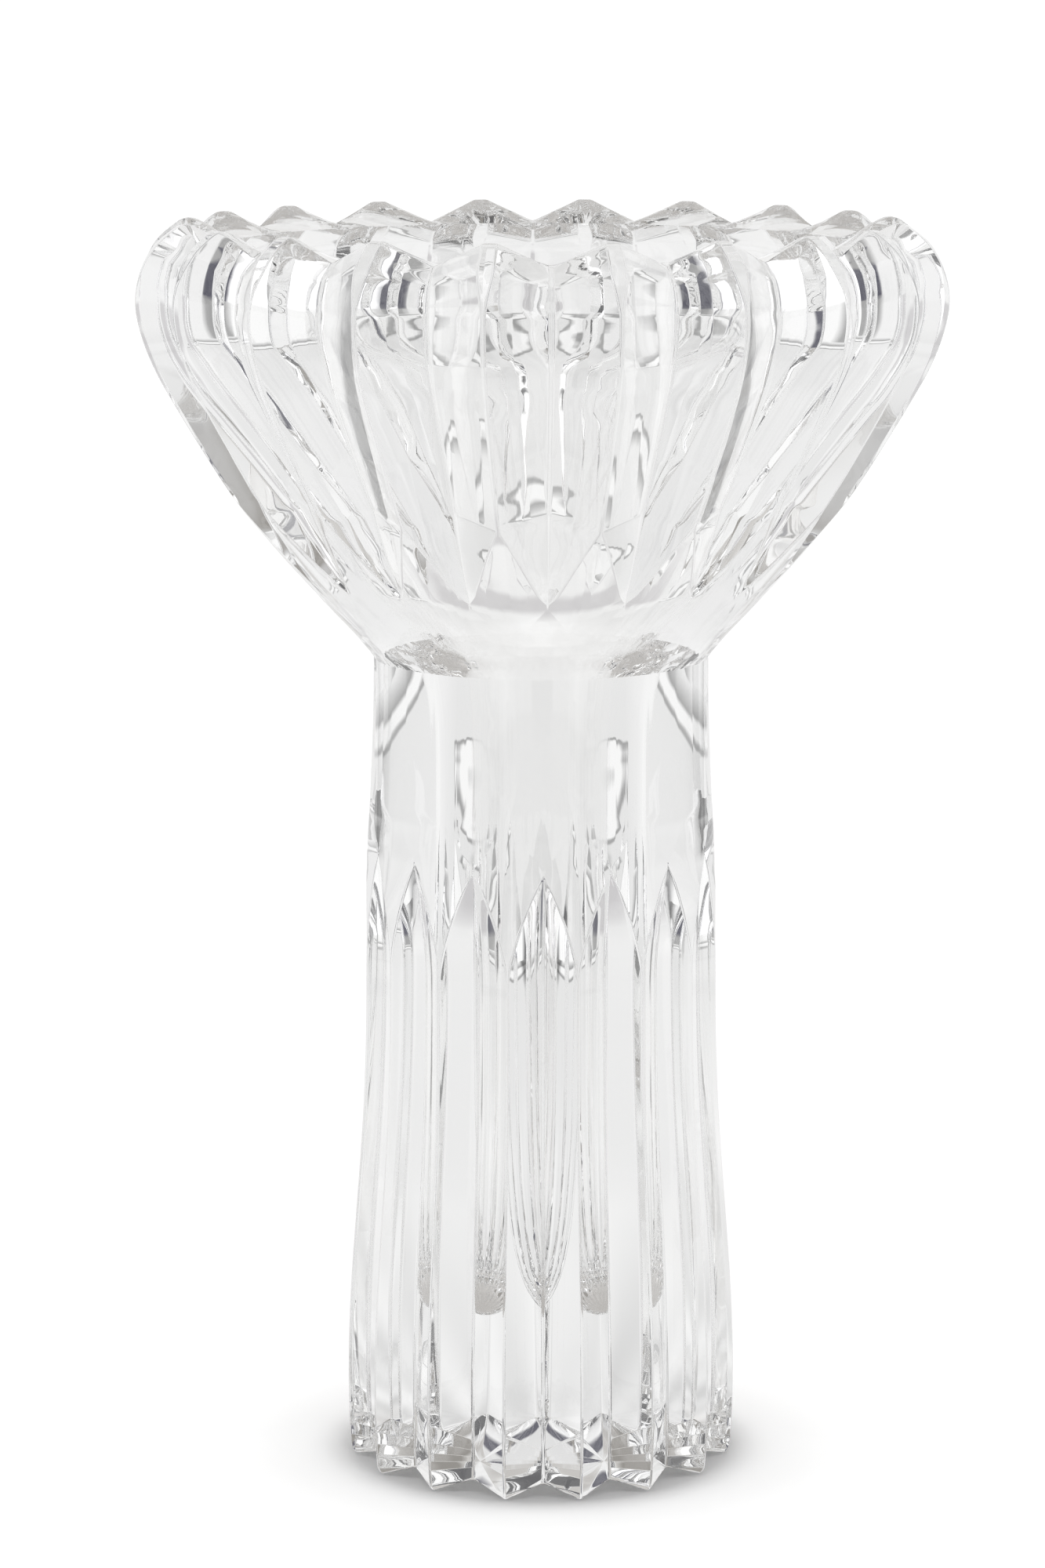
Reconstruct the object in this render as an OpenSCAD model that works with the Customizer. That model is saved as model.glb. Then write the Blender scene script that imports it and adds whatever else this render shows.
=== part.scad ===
// Cut crystal vase in two bonded pieces: a tall fluted column with a heavy
// solid foot, and a wide flared head with a rolled, notched rim.
// Millimetres, +Z up, origin at the centre of the base.

/* [Overall] */
// Height of the bond line between column and head
seam_z = 199.6; // [185:0.2:212]
// Outer radius of both pieces at the bond line
seam_r = 40.8; // [38:0.2:44]
// Radius of the bore where it crosses the bond line
neck_bore_r = 19.4; // [18:0.2:22]

/* [Column] */
// Number of vertical mitre cuts round the column
column_cuts = 16; // [12:1:20]
// Half angle of the column's mitre wheel, degrees
column_wheel = 64; // [60:1:68]
// Height where the column's cuts have run out to nothing
column_cut_top = 152.8; // [146:0.2:160]
// Height below which neighbouring column cuts meet in a sharp ridge
column_ridge_top = 126; // [120:1:136]
// Height of the inside floor above the table
floor_z = 36; // [30:1:50]

/* [Head] */
// Number of mitre cuts round the head
head_cuts = 20; // [16:1:24]
// Half angle of the head's mitre wheel, degrees
head_wheel = 65; // [62:1:68]
// Height where the head's cuts start
head_cut_start = 219.8; // [212:0.2:226]
// Height above which neighbouring head cuts meet in a sharp ridge
head_ridge_start = 239; // [232:1:246]
// Turn of the head's cuts against the column's, degrees
head_turn = 1.5; // [0:0.5:9]
// Radius of the mouth at the inner edge of the rim
mouth_r = 75.2; // [70:0.2:78]
// Height of the inner edge of the rim
mouth_z = 299.6; // [298:0.2:300.6]
// How far the hand-set cuts drift from even spacing, as a share of the usual
drift_share = 1; // [0:0.1:1.5]
// Width of the flat land between the inner edge and the cuts
rim_land = 0.6; // [0.4:0.1:1]

/* [Hidden] */
// share of half a pitch that a cut may take, leaving a hair-wide ridge top on
// the walls and a broader polished one over the rolled rim
ridge_share = 0.97;
rim_share = 0.85;
// drift of the cuts round each piece: degrees and phase once round, then five times
head_drift = [1.3, 180, 0.4, 0];
column_drift = [0.8, 40, 0.4, 120];

// outside of the column at its ridges, [radius, height], from base to bond
column_line = [[46.6, 0], [47.6, 1.2], [48.1, 5], [48.5, 16], [48.4, 30], [47.7, 45],
    [46.6, 60], [45.4, 75], [44.4, 90], [43.7, 108], [43.4, 130], [42.7, 150],
    [41.6, 170], [41, 186], [seam_r, seam_z]];

// outside of the head at its ridges, from the bond line over the rim to its
// inner edge
head_line = [[seam_r, seam_z], [42.6, 202], [46, 206], [51.6, 212], [57.4, 218.4],
    [62.8, 224.4], [68, 230.6], [74, 238], [79.6, 246.4], [84.5, 254.4], [89, 262],
    [93.4, 270], [96.6, 278], [98.2, 286], [97.2, 293], [94.2, 299], [90.6, 302.6],
    [86.4, 305], [82, 303.6], [mouth_r + rim_land, mouth_z]];

// inside of the head, from the bond line up to the inner edge of the rim; the
// wall swells out below the rolled rim, a little wider than the mouth
head_bore = [[neck_bore_r, seam_z], [23.6, 205], [29.6, 211], [37, 219.6], [44, 229],
    [50.6, 239.4], [57.2, 249.2], [64, 258.8], [70.2, 267.2], [75.8, 274.6], [79.6, 281],
    [80.6, 288], [79, 294.4], [mouth_r, mouth_z]];

// inside of the column, from the middle of the floor up to the bond line
column_bore = [[0, floor_z], [4, floor_z + 0.6], [8, floor_z + 3], [11.4, floor_z + 8],
    [13.8, floor_z + 16], [15.4, floor_z + 28], [16.4, floor_z + 46], [16.8, floor_z + 70],
    [16.9, floor_z + 110], [17, floor_z + 140], [17.6, floor_z + 152], [neck_bore_r, seam_z]];

function spline(a, b, c, d, t) = 0.5 * (2 * b + (c - a) * t
    + (2 * a - 5 * b + 4 * c - d) * t * t + (3 * b - a - 3 * c + d) * t * t * t);
function smooth_line(p, n) = let (m = len(p) - 1)
    [for (i = [0:m - 1]) for (k = [0:n - 1])
        spline(p[max(i - 1, 0)], p[i], p[i + 1], p[min(i + 2, m)], k / n), p[m]];
// outward normal of a line at point i, to the right of its travel
function normal(p, i) = let (d = p[min(i + 1, len(p) - 1)] - p[max(i - 1, 0)])
    [d[1], -d[0]] / norm(d);

// share of half a pitch that a cut takes at height z: 0 at its run-out, and
// nearly 1 where the ridges begin
function column_share(z) = z >= column_cut_top ? 0 : ridge_share * (z <= column_ridge_top ? 1
    : 1 - pow((z - column_ridge_top) / (column_cut_top - column_ridge_top), 1.5));
// the head's share falls back over the rim, where the rolled edge was ground less
function head_share(z) = z <= head_cut_start ? 0
    : z < head_ridge_start ? ridge_share * pow((z - head_cut_start) / (head_ridge_start - head_cut_start), 0.8)
    : z < 290 ? ridge_share : ridge_share + (rim_share - ridge_share) * min(1, (z - 290) / 9);

// angle from the middle of a cut at which its facet meets the uncut body
function edge_angle(half, share) = share <= 0 ? half * 0.5 : half * max(0.03, share);
// middle of the cut, as [radius, height]
function cut_floor(q, nrm, half, share, wheel, fade) = share <= 0 ? q
    : let (w = half * share, s = q[0] * sin(w) / tan(wheel) * fade)
      [q[0] * (1 - (1 - cos(w)) * fade) - nrm[0] * s, q[1] - nrm[1] * s];
function drifted(a, d) = a + drift_share * (d[0] * sin(a + d[1]) + d[2] * sin(5 * a + d[3]));
function spin(q, a, d) = let (b = drifted(a, d)) [q[0] * sin(b), -q[0] * cos(b), q[1]];
// the four corners of one pitch at one station of the outline
function pitch(q, f, a, half, w, d) = [spin(f, a, d), spin(q, a + w, d), spin(q, a + half, d),
    spin(q, a + 2 * half - w, d)];

// skin of a cut body: stations is a list of [outline point, cut floor, edge angle].
// It runs on by end_low below the first station and end_high above the last one.
module cut_body(stations, cuts, turn, drift, end_low, end_high) {
    half = 180 / cuts;
    m = 4 * cuts;
    first = stations[0];
    last = stations[len(stations) - 1];
    all = concat([[first[0] - [0, end_low], first[1] - [0, end_low], first[2]]], stations,
        end_high > 0 ? [[last[0] + [0, end_high], last[1] + [0, end_high], last[2]]] : []);
    n = len(all);
    ring = [for (s = all) for (k = [0:cuts - 1])
        for (v = pitch(s[0], s[1], turn + 2 * half * k, half, s[2], drift)) v];
    points = concat(ring, [[0, 0, all[0][0][1]], [0, 0, all[n - 1][0][1]]]);
    sides = [for (i = [0:n - 2]) for (j = [0:m - 1]) let (a = i * m + j, b = i * m + (j + 1) % m,
            c = a + m, d = b + m) for (t = j % 4 < 2 ? [[a, d, b], [a, c, d]] : [[a, c, b], [b, c, d]]) t];
    under = [for (j = [0:m - 1]) [n * m, j, (j + 1) % m]];
    over = [for (j = [0:m - 1]) [n * m + 1, (n - 1) * m + (j + 1) % m, (n - 1) * m + j]];
    polyhedron(points, concat(sides, under, over), convexity = 8);
}

// everything below height z, and everything above it
module below(z) { translate([-150, -150, z - 60]) cube([300, 300, 60]); }
module above(z) { translate([-150, -150, z]) cube([300, 300, 60]); }

// hollow turned from a line of [radius, height] points, run on by drop below
// its first point and by 8 above its last one
module bore(line, drop) {
    p = smooth_line(line, 2);
    top = p[len(p) - 1];
    start = [0, p[0][1] - drop];
    foot = drop > 0 ? [start, [p[0][0], start[1]]] : [start];
    rotate_extrude($fn = 128) polygon(concat(foot, [for (q = p) if (q[0] > 0) q],
        [[top[0], top[1] + 8], [0, top[1] + 8]]));
}

// heavy fluted column with a solid foot and a blind bore
module column() {
    line = smooth_line(column_line, 2);
    half = 180 / column_cuts;
    color([0.86, 0.90, 0.92, 0.45]) difference() {
        cut_body([for (i = [0:len(line) - 1]) let (q = line[i], s = column_share(q[1]))
            [q, cut_floor(q, normal(line, i), half, s, column_wheel, 1), edge_angle(half, s)]],
            column_cuts, 0, column_drift, 2, 2);
        bore(column_bore, 0);
        below(0);
        above(seam_z);
    }
}

// flared head with mitre cuts that run up the wall and over the rolled rim
module head() {
    line = smooth_line(head_line, 2);
    half = 180 / head_cuts;
    crown = max([for (q = line) q[1]]);
    color([0.90, 0.93, 0.95, 0.45]) difference() {
        cut_body([for (i = [0:len(line) - 1]) let (q = line[i],
            inner = q[0] < 86.2 && q[1] > 290,
            s = inner ? rim_share : head_share(q[1]),
            fade = inner ? max(0, min(1, (q[1] - mouth_z) / (crown - mouth_z))) : 1)
            [q, cut_floor(q, inner ? [0, 1] : normal(line, i), half, s, head_wheel, fade),
             edge_angle(half, s)]],
            head_cuts, head_turn, head_drift, 2, 0);
        bore(head_bore, 3);
        below(seam_z);
    }
}

head();
column();
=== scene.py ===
"""Cut crystal vase: the looks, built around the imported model."""
import math

import bpy
import numpy as np
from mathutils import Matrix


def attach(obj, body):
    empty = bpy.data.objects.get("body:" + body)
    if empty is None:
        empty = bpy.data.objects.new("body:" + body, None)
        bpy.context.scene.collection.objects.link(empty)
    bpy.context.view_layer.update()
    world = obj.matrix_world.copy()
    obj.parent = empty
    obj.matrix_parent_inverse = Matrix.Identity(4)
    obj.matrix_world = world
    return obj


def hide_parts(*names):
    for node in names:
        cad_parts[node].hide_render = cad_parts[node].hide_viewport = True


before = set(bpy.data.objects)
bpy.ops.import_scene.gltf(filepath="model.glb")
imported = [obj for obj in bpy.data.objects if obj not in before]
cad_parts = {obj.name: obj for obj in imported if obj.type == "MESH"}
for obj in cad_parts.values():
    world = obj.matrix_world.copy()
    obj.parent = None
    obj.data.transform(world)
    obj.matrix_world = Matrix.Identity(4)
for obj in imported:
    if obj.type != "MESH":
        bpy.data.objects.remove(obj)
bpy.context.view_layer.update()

MM = 0.001

# ---------------------------------------------------------------- outline
SEAM_Z, SEAM_R, NECK_R = 199.6, 40.8, 19.4
COLUMN_CUTS, COLUMN_WHEEL, COLUMN_CUT_TOP, COLUMN_RIDGE_TOP = 16, 64.0, 152.8, 126.0
HEAD_CUTS, HEAD_WHEEL, HEAD_CUT_START, HEAD_RIDGE_START = 20, 65.0, 219.8, 239.0
HEAD_TURN, MOUTH_R, MOUTH_Z, FLOOR_Z = 1.5, 75.2, 299.6, 36.0
RIDGE_SHARE, RIM_SHARE, RIM_LAND = 0.955, 0.85, 0.6
HEAD_DRIFT, COLUMN_DRIFT = (1.3, 180, 0.4, 0), (0.8, 40, 0.4, 120)

COLUMN_LINE = [(46.6, 0), (47.6, 1.2), (48.1, 5), (48.5, 16), (48.4, 30), (47.7, 45),
               (46.6, 60), (45.4, 75), (44.4, 90), (43.7, 108), (43.4, 130), (42.7, 150),
               (41.6, 170), (41, 186), (SEAM_R, SEAM_Z)]
HEAD_LINE = [(SEAM_R, SEAM_Z), (42.6, 202), (46, 206), (51.6, 212), (57.4, 218.4),
             (62.8, 224.4), (68, 230.6), (74, 238), (79.6, 246.4), (84.5, 254.4), (89, 262),
             (93.4, 270), (96.6, 278), (98.2, 286), (97.2, 293), (94.2, 299), (90.6, 302.6),
             (86.4, 305), (82, 303.6), (MOUTH_R + RIM_LAND, MOUTH_Z)]
HEAD_BORE = [(NECK_R, SEAM_Z), (23.6, 205), (29.6, 211), (37, 219.6), (44, 229), (50.6, 239.4),
             (57.2, 249.2), (64, 258.8), (70.2, 267.2), (75.8, 274.6), (79.6, 281), (80.6, 288),
             (79, 294.4), (MOUTH_R, MOUTH_Z)]
COLUMN_BORE = [(0, FLOOR_Z), (4, FLOOR_Z + 0.6), (8, FLOOR_Z + 3), (11.4, FLOOR_Z + 8),
               (13.8, FLOOR_Z + 16), (15.4, FLOOR_Z + 28), (16.4, FLOOR_Z + 46), (16.8, FLOOR_Z + 70),
               (16.9, FLOOR_Z + 110), (17, FLOOR_Z + 140), (17.6, FLOOR_Z + 152), (NECK_R, SEAM_Z)]


def smooth_line(points, step):
    """The outline as a spline, with a station about every step along it."""
    p = np.array(points, float)
    out = []
    for i in range(len(p) - 1):
        a, b, c, d = p[max(i - 1, 0)], p[i], p[i + 1], p[min(i + 2, len(p) - 1)]
        n = max(2, int(math.ceil(np.linalg.norm(c - b) / step)))
        for k in range(n):
            t = k / n
            out.append(0.5 * (2 * b + (c - a) * t + (2 * a - 5 * b + 4 * c - d) * t * t
                              + (3 * b - a - 3 * c + d) * t ** 3))
    out.append(p[-1])
    return np.array(out)


def normals(line):
    d = np.gradient(line, axis=0)
    d /= np.linalg.norm(d, axis=1)[:, None]
    return np.stack([d[:, 1], -d[:, 0]], axis=1)


def column_share(z):
    if z >= COLUMN_CUT_TOP:
        return 0.0
    if z <= COLUMN_RIDGE_TOP:
        return RIDGE_SHARE
    return RIDGE_SHARE * (1 - ((z - COLUMN_RIDGE_TOP) / (COLUMN_CUT_TOP - COLUMN_RIDGE_TOP)) ** 1.5)


def head_share(z):
    if z <= HEAD_CUT_START:
        return 0.0
    if z < HEAD_RIDGE_START:
        return RIDGE_SHARE * ((z - HEAD_CUT_START) / (HEAD_RIDGE_START - HEAD_CUT_START)) ** 0.8
    return RIDGE_SHARE + (RIM_SHARE - RIDGE_SHARE) * min(1, max(0, (z - 290) / 9))


FLAT = (0.0, 0.025, 0.06, 0.3, 0.65, 1.0)      # stations across a facet, from the cut's floor to its edge
SOFT = 0.06                                     # share of a facet that the rounded floor takes
LAND = 4                                        # strips from the facet's edge to the middle of the ridge
POLISH = 0.8                                    # mm of ridge edge rounded over by polishing


def drifted(a, d):
    """The angle at which a hand-set cut really stands."""
    return a + math.radians(d[0]) * math.sin(a + math.radians(d[1])) + math.radians(d[2]) * math.sin(5 * a + math.radians(d[3]))


def ring(q, nrm, share, open_to, fade, cuts, wheel, turn, drift):
    """One ring of points round the piece at one station of its outline. share is
    how much of half a pitch the cut takes; open_to spaces the points where it is 0."""
    half = math.radians(180 / cuts)
    cut = share > 0
    w = half * max(0.02, share if cut else open_to)
    slope = 1 / math.tan(math.radians(wheel))
    depth = q[0] * math.sin(w) * slope * fade if cut else 0.0
    sag = q[0] * (1 - math.cos(w)) * fade if cut else 0.0
    soft = min(0.8 * (half - w), POLISH / q[0], 0.5 * w)
    drop = soft * q[0] * slope / 2 * fade if cut else 0.0
    side = []                                     # (across, out, up) from the cut's floor to the ridge
    for t in FLAT:
        h = (t * t / SOFT + SOFT) / 2 if t < SOFT else t
        across, round_out = q[0] * math.sin(w * t), q[0] * math.cos(w * t)
        if not cut:
            side.append((across, round_out, q[1]))
            continue
        flat_x = q[0] * math.sin(w) * t
        x = flat_x * fade + across * (1 - fade)
        y = (q[0] * (math.cos(w) * h + (1 - h)) - sag * (1 - h)) * fade + round_out * (1 - fade)
        down = depth * (1 - h) + drop
        side.append((x, y - nrm[0] * down, q[1] - nrm[1] * down))
    for k in range(1, LAND + 1):
        t = min(1.0, k / (LAND - 1))
        a = w + soft * t if k < LAND else half
        down = drop * (1 - t) ** 2
        side.append((q[0] * math.sin(a), q[0] * math.cos(a) - nrm[0] * down, q[1] - nrm[1] * down))
    back = [(-x, y, z) for x, y, z in side[-2:0:-1]]
    pts = []
    for k in range(cuts):
        for j, (across, out, up) in enumerate(side + back):
            mid = math.radians(turn) + 2 * half * (k if j < len(side) else k + 1)
            r, a = math.hypot(across, out), drifted(mid + math.atan2(across, out), drift)
            pts.append((r * math.sin(a), -r * math.cos(a), up))
    return pts


def circle_ring(like, radius, z):
    """A round ring whose points stand at the same angles as those of another ring."""
    p = np.array(like)
    a = np.arctan2(p[:, 0], -p[:, 1])
    return [(radius * math.sin(t), -radius * math.cos(t), z) for t in a]


def build(name, rings, kinds, cap):
    """A closed mesh from rings of equal count. kinds[i] is the patch of surface between
    ring i and i + 1: 0 outside, 1 bond face, 2 inside; shading is smooth within a patch
    and breaks between patches. The last band closes back on ring 0, or on a centre
    point at each end when cap gives their heights."""
    m = len(rings[0])
    verts = [p for r in rings for p in r]
    faces, patch = [], []
    n = len(rings)
    for i in range(n if cap is None else n - 1):
        a0, b0 = i * m, ((i + 1) % n) * m
        for j in range(m):
            k = (j + 1) % m
            faces.append((a0 + j, a0 + k, b0 + k, b0 + j))
            patch.append(kinds[i])
    if cap is not None:
        low, high = len(verts), len(verts) + 1
        verts += [(0, 0, cap[0]), (0, 0, cap[1])]
        for j in range(m):
            k = (j + 1) % m
            faces.append((low, k, j))
            faces.append((high, (n - 1) * m + j, (n - 1) * m + k))
            patch += [3, 2]
    mesh = bpy.data.meshes.new(name)
    mesh.from_pydata([(x * MM, y * MM, z * MM) for x, y, z in verts], [], faces)
    mesh.polygons.foreach_set("material_index", [1 if k == 1 else 0 for k in patch])
    mesh.polygons.foreach_set("use_smooth", [True] * len(faces))
    mesh.update()

    # one normal for each vertex of a patch, weighted by area so that flat facets stay flat
    count = len(faces)
    flat, area = np.zeros(count * 3), np.zeros(count)
    mesh.polygons.foreach_get("normal", flat)
    mesh.polygons.foreach_get("area", area)
    starts, sizes = np.zeros(count, int), np.zeros(count, int)
    mesh.polygons.foreach_get("loop_start", starts)
    mesh.polygons.foreach_get("loop_total", sizes)
    corner = np.zeros(len(mesh.loops), int)
    mesh.loops.foreach_get("vertex_index", corner)
    owner = np.repeat(np.arange(count), sizes)
    key = corner * 4 + np.array(patch)[owner]
    total = np.zeros((len(verts) * 4, 3))
    np.add.at(total, key, (flat.reshape(-1, 3) * area[:, None])[owner])
    total /= np.maximum(np.linalg.norm(total, axis=1), 1e-12)[:, None]
    mesh.normals_split_custom_set([tuple(v) for v in total[key]])
    obj = bpy.data.objects.new(name, mesh)
    bpy.context.collection.objects.link(obj)
    return obj


def ease(t):
    t = min(1.0, max(0.0, t))
    return t * t * (3 - 2 * t)


def make_column():
    line = smooth_line(COLUMN_LINE, 1.4)
    rings = []
    for q, d in zip(line, normals(line)):
        gap = 0.5 * ease((q[1] - COLUMN_CUT_TOP) / 9)
        rings.append(ring(q, d, column_share(q[1]), gap, 1.0, COLUMN_CUTS, COLUMN_WHEEL, 0.0, COLUMN_DRIFT))
    top = len(rings) - 1
    kinds = [0] * top + [1]
    for q in smooth_line(COLUMN_BORE, 1.4)[::-1][:-1]:    # from the bond line down to the floor
        rings.append(circle_ring(rings[top], q[0], q[1]))
        kinds.append(2)
    return build("column_crystal", rings, kinds, (0.0, FLOOR_Z))


def make_head():
    line = smooth_line(HEAD_LINE, 1.1)
    crown = line[:, 1].max()
    top_i = int(line[:, 1].argmax())
    rings = []
    for i, (q, d) in enumerate(zip(line, normals(line))):
        inner = i > top_i
        share = RIM_SHARE if inner else head_share(q[1])
        fade = min(1.0, max(0.0, (q[1] - MOUTH_Z) / (crown - MOUTH_Z))) if inner else 1.0
        gap = 0.5 * ease((HEAD_CUT_START - q[1]) / 9)
        rings.append(ring(q, (0.0, 1.0) if inner else d, share, gap, fade, HEAD_CUTS, HEAD_WHEEL,
                          HEAD_TURN, HEAD_DRIFT))
    rim = len(rings) - 1
    kinds = [0] * rim + [3]
    for q in smooth_line(HEAD_BORE, 1.4)[::-1]:           # from the rim down to the bond line
        rings.append(circle_ring(rings[rim], q[0], q[1]))
        kinds.append(2)
    kinds[-1] = 1                                         # the bond face, back to ring 0
    return build("head_crystal", rings, kinds, None)


# ---------------------------------------------------------------- materials
def new_material(name):
    mat = bpy.data.materials.new(name)
    mat.use_nodes = True
    mat.node_tree.nodes.clear()
    return mat, mat.node_tree.nodes, mat.node_tree.links


def crystal(name, scale, seed):
    mat, nodes, links = new_material(name)
    out = nodes.new("ShaderNodeOutputMaterial")
    glass = nodes.new("ShaderNodeBsdfPrincipled")
    glass.inputs["Transmission Weight"].default_value = 1.0
    glass.inputs["IOR"].default_value = 1.55
    glass.inputs["Roughness"].default_value = 0.0
    glass.inputs["Base Color"].default_value = (0.995, 0.995, 0.992, 1)
    coord = nodes.new("ShaderNodeTexCoord")
    place = nodes.new("ShaderNodeMapping")
    place.inputs["Location"].default_value = (seed, seed * 0.7, 0)
    links.new(coord.outputs["Object"], place.inputs["Vector"])
    wave = nodes.new("ShaderNodeTexNoise")                # slow wave left by polishing
    wave.inputs["Scale"].default_value = scale
    wave.inputs["Detail"].default_value = 2.0
    links.new(place.outputs["Vector"], wave.inputs["Vector"])
    bump = nodes.new("ShaderNodeBump")
    bump.inputs["Strength"].default_value = 0.006
    bump.inputs["Distance"].default_value = 0.001
    links.new(wave.outputs["Fac"], bump.inputs["Height"])
    links.new(bump.outputs["Normal"], glass.inputs["Normal"])
    links.new(glass.outputs["BSDF"], out.inputs["Surface"])
    return mat


def bond(name):
    mat, nodes, links = new_material(name)
    out = nodes.new("ShaderNodeOutputMaterial")
    clear = nodes.new("ShaderNodeBsdfTransparent")
    links.new(clear.outputs["BSDF"], out.inputs["Surface"])
    return mat


column = make_column()
head = make_head()
bond_face = bond("bond_face")
column.data.materials.append(crystal("crystal_column", 60.0, 3.0))
column.data.materials.append(bond_face)
head.data.materials.append(crystal("crystal_head", 60.0, 7.0))
head.data.materials.append(bond_face)
for piece, node, slot in ((column, "column", "crystal_column"), (head, "head", "crystal_head")):
    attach(piece, "root")
    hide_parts(node)

# ---------------------------------------------------------------- floor
def sheet(name, x0, x1, y0, y1, z, mat):
    mesh = bpy.data.meshes.new(name)
    mesh.from_pydata([(x0, y0, z), (x1, y0, z), (x1, y1, z), (x0, y1, z)], [], [(0, 1, 2, 3)])
    obj = bpy.data.objects.new(name, mesh)
    bpy.context.collection.objects.link(obj)
    mesh.materials.append(mat)
    return obj


def math_node(op, a, b=None, clamp=False):
    n = nodes.new("ShaderNodeMath")
    n.operation = op
    n.use_clamp = clamp
    for socket, value in zip(n.inputs, (a, b)):
        if value is None:
            continue
        if isinstance(value, (int, float)):
            socket.default_value = value
        else:
            links.new(value, socket)
    return n.outputs[0]


def steps(value, points):
    """A curve through (position, brightness or colour) points, 0 to 1 along the ramp."""
    ramp = nodes.new("ShaderNodeValToRGB")
    ramp.color_ramp.interpolation = "LINEAR"
    stops = ramp.color_ramp.elements
    while len(stops) > 1:
        stops.remove(stops[-1])
    for i, (pos, v) in enumerate(points):
        c = (v,) * 3 if isinstance(v, (int, float)) else v
        if i == 0:
            stops[0].position, stops[0].color = pos, tuple(c) + (1,)
        else:
            stops.new(pos).color = tuple(c) + (1,)
    links.new(value, ramp.inputs["Fac"])
    return ramp.outputs["Color"]


# The white paper that the picture shows, with the soft shadow under the foot
paper, nodes, links = new_material("paper")
out = nodes.new("ShaderNodeOutputMaterial")
both = nodes.new("ShaderNodeAddShader")
diffuse = nodes.new("ShaderNodeBsdfDiffuse")
diffuse.inputs["Color"].default_value = (0.86, 0.86, 0.86, 1)
glow = nodes.new("ShaderNodeEmission")
coord = nodes.new("ShaderNodeTexCoord")
reach = nodes.new("ShaderNodeVectorMath")
reach.operation = "LENGTH"
links.new(coord.outputs["Object"], reach.inputs[0])
# painted contact shadow: the paper's glow drops from 0.59 to 0.05 towards and under the foot, on top of the real
# shadow that its diffuse part catches
links.new(steps(reach.outputs["Value"], [(0.0, 0.05), (0.046, 0.08), (0.050, 0.28), (0.056, 0.50), (0.075, 0.59)]), glow.inputs["Strength"])
links.new(diffuse.outputs["BSDF"], both.inputs[0])
links.new(glow.outputs["Emission"], both.inputs[1])
links.new(both.outputs["Shader"], out.inputs["Surface"])
floor = sheet("floor", -12, 12, -12, 12, -0.0004, paper)
floor.visible_glossy = floor.visible_transmission = False

# The strip of paper on the table, as the crystal sees it: a sheet that glows in place of the lit paper, with
# painted shade that dims and warms it round and under the foot, a narrow dark patch from a hand's breadth in front
# of the foot on, a darker far front end, and painted light from the flutes laid on in short streaks
strip, nodes, links = new_material("paper_strip")
out = nodes.new("ShaderNodeOutputMaterial")
glow = nodes.new("ShaderNodeEmission")
coord = nodes.new("ShaderNodeTexCoord")
reach = nodes.new("ShaderNodeVectorMath")
reach.operation = "LENGTH"
links.new(coord.outputs["Object"], reach.inputs[0])
place = nodes.new("ShaderNodeSeparateXYZ")
links.new(coord.outputs["Object"], place.inputs["Vector"])
# painted shade: the strip's glow falls from 0.92 far out to 0.46 under the foot
painted_shade = steps(reach.outputs["Value"], [(0.0, 0.46), (0.036, 0.50), (0.052, 0.78), (0.20, 0.89), (0.9, 0.92)])
edge = steps(math_node("ABSOLUTE", place.outputs["X"]), [(0.0, 1.0), (0.12, 1.0), (0.32, 0.91), (0.588, 0.89),
                                                         (0.600, 0.40), (0.612, 0.45), (0.632, 1.06), (0.685, 1.06),
                                                         (0.710, 0.40), (0.76, 0.62), (0.84, 0.95)])
around = math_node("ARCTAN2", place.outputs["X"], place.outputs["Y"])
# painted light: short streaks of brightness round the foot, as the flutes would throw, up to about a sixth above
# and below the glow
wave = math_node("ADD", math_node("SINE", math_node("MULTIPLY", around, 16.0)),
                 math_node("MULTIPLY", math_node("SINE", math_node("ADD", math_node("MULTIPLY", around, 37.0), 1.0)), 0.7))
near = steps(reach.outputs["Value"], [(0.0, 0.0), (0.04, 1.0), (0.12, 0.7), (0.26, 0.0)])
painted_streaks = math_node("ADD", math_node("MULTIPLY", math_node("MULTIPLY", wave, 0.10), near), 1.0)
# darker glow at the far front end (0.24 beyond 0.32 m in front) and in a narrow patch (0.15) from about 0.1 m in
# front of the foot on, 12 to 17 cm wide
front = steps(math_node("ADD", place.outputs["Y"], 0.5), [(0.0, 0.24), (0.18, 0.24), (0.25, 1.0)])
aside = steps(math_node("ABSOLUTE", place.outputs["X"]), [(0.0, 0.0), (0.06, 0.0), (0.085, 1.0)])
ahead = steps(math_node("ADD", place.outputs["Y"], 0.5), [(0.0, 0.0), (0.395, 0.0), (0.415, 1.0)])
dark = math_node("ADD", math_node("MULTIPLY", math_node("MAXIMUM", aside, ahead), 0.85), 0.15)
links.new(math_node("MULTIPLY", math_node("MULTIPLY", math_node("MULTIPLY", painted_shade, 1.02), math_node("MULTIPLY", painted_streaks, edge)),
                    math_node("MULTIPLY", front, dark)), glow.inputs["Strength"])
# painted shade: the glow turns warm towards the centre, under the foot
links.new(steps(reach.outputs["Value"], [(0.0, (1.0, 0.965, 0.925)), (0.04, (1.0, 0.97, 0.94)), (0.056, (1.0, 1.0, 1.0))]),
          glow.inputs["Color"])
links.new(glow.outputs["Emission"], out.inputs["Surface"])
table = sheet("table", -0.86, 0.86, -0.60, 2.2, -0.0004, strip)
table.visible_camera = table.visible_diffuse = table.visible_shadow = False

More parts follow.
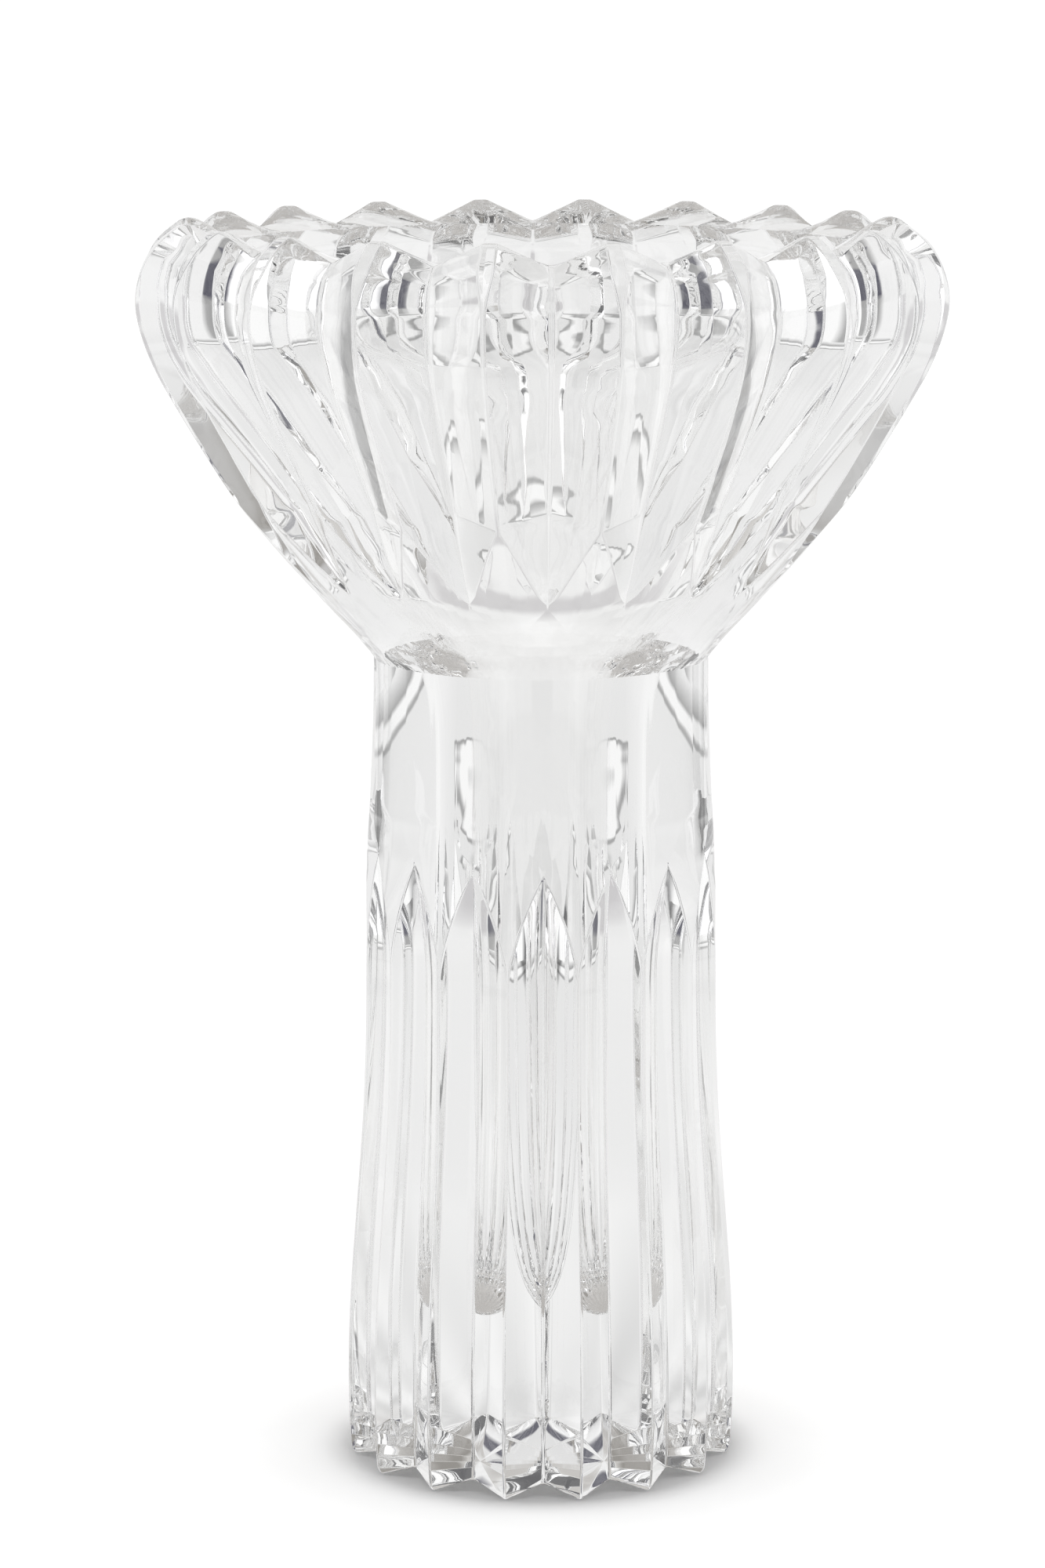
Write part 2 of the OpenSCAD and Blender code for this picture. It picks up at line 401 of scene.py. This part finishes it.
# ---------------------------------------------------------------- world
world = bpy.data.worlds.new("studio")
bpy.context.scene.world = world
world.use_nodes = True
nodes, links = world.node_tree.nodes, world.node_tree.links
nodes.clear()
out = nodes.new("ShaderNodeOutputWorld")
sky = nodes.new("ShaderNodeBackground")
links.new(sky.outputs["Background"], out.inputs["Surface"])
coord = nodes.new("ShaderNodeTexCoord")
axes = nodes.new("ShaderNodeSeparateXYZ")
links.new(coord.outputs["Generated"], axes.inputs["Vector"])


def mix(fac, a, b):
    n = nodes.new("ShaderNodeMix")
    n.data_type = "RGBA"
    links.new(fac, n.inputs["Factor"])
    for socket, value in ((n.inputs[6], a), (n.inputs[7], b)):
        if isinstance(value, (int, float)):
            socket.default_value = (value, value, value, 1)
        elif isinstance(value, tuple):
            socket.default_value = value + (1,)
        else:
            links.new(value, socket)
    return n.outputs[2]


X, Y, Z = axes.outputs["X"], axes.outputs["Y"], axes.outputs["Z"]
turn = math_node("DIVIDE", math_node("ABSOLUTE", math_node("ARCTAN2", X, Y)), math.pi)   # 0 behind, 1 at the camera
high = math_node("DIVIDE", math_node("ARCSINE", Z), math.pi / 2)                         # 0 level, 1 overhead
ROOM, GAP, BOX = (0.58, 0.565, 0.545), (0.12, 0.12, 0.15), (1.3, 1.3, 1.32)
FRONT, CEILING = (0.12, 0.12, 0.125), (0.30, 0.285, 0.265)
# at table height: lit sweep behind, a dark gap, the side softboxes, the dark room in front
low_band = steps(turn, [(0.0, 0.92), (0.23, 0.92), (0.24, GAP), (0.30, GAP), (0.315, BOX), (0.62, BOX),
                        (0.65, FRONT), (1.0, FRONT)])
# above the sweep's middle the room shows, and its lit wings go on
mid_band = steps(turn, [(0.0, ROOM), (0.10, ROOM), (0.13, 0.8), (0.24, 0.8), (0.25, GAP), (0.29, GAP),
                        (0.315, 1.0), (0.62, 1.0), (0.65, FRONT), (1.0, FRONT)])
# the far end of the table, where the sweep starts, is in shade
level = math_node("MULTIPLY", steps(high, [(0.0, 1.0), (0.030, 1.0), (0.045, 0.0)]), steps(turn, [(0.0, 1.0), (0.055, 1.0), (0.08, 0.0)]))
low_band = mix(level, low_band, (0.66, 0.65, 0.66))
below_band = steps(turn, [(0.0, 0.92), (0.22, 0.92), (0.25, 0.40), (0.29, 0.40), (0.33, 1.0), (0.62, 1.0), (0.65, FRONT), (1.0, FRONT)])
high_band = steps(turn, [(0.0, CEILING), (0.5, CEILING), (0.68, 0.6), (0.78, 1.15), (1.0, 1.25)])
colour = mix(steps(high, [(0.0, 0.0), (0.20, 0.0), (0.23, 1.0)]), low_band, mid_band)
colour = mix(steps(math_node("MULTIPLY", high, -1.0), [(0.0, 0.0), (0.02, 0.0), (0.04, 1.0)]), colour, below_band)
colour = mix(steps(high, [(0.0, 0.0), (0.53, 0.0), (0.56, 1.0)]), colour, high_band)
path = nodes.new("ShaderNodeLightPath")
links.new(mix(path.outputs["Is Camera Ray"], colour, 1.1), sky.inputs["Color"])
sky.inputs["Strength"].default_value = 1.0

# ---------------------------------------------------------------- camera
cam_data = bpy.data.cameras.new("camera")
cam = bpy.data.objects.new("camera", cam_data)
bpy.context.collection.objects.link(cam)
cam.location = (0.0, -1.1834, 0.378)
cam.rotation_euler = (math.radians(90 - 10.087), 0.0, math.radians(0.218))
cam_data.sensor_fit = "VERTICAL"
cam_data.sensor_height = 36.0
cam_data.lens = 112.66
cam_data.clip_end = 50.0
scene = bpy.context.scene
scene.camera = cam
scene.view_settings.view_transform = "Standard"
scene.cycles.max_bounces = 32
scene.cycles.transmission_bounces = 32
scene.cycles.glossy_bounces = 16
scene.cycles.transparent_max_bounces = 16
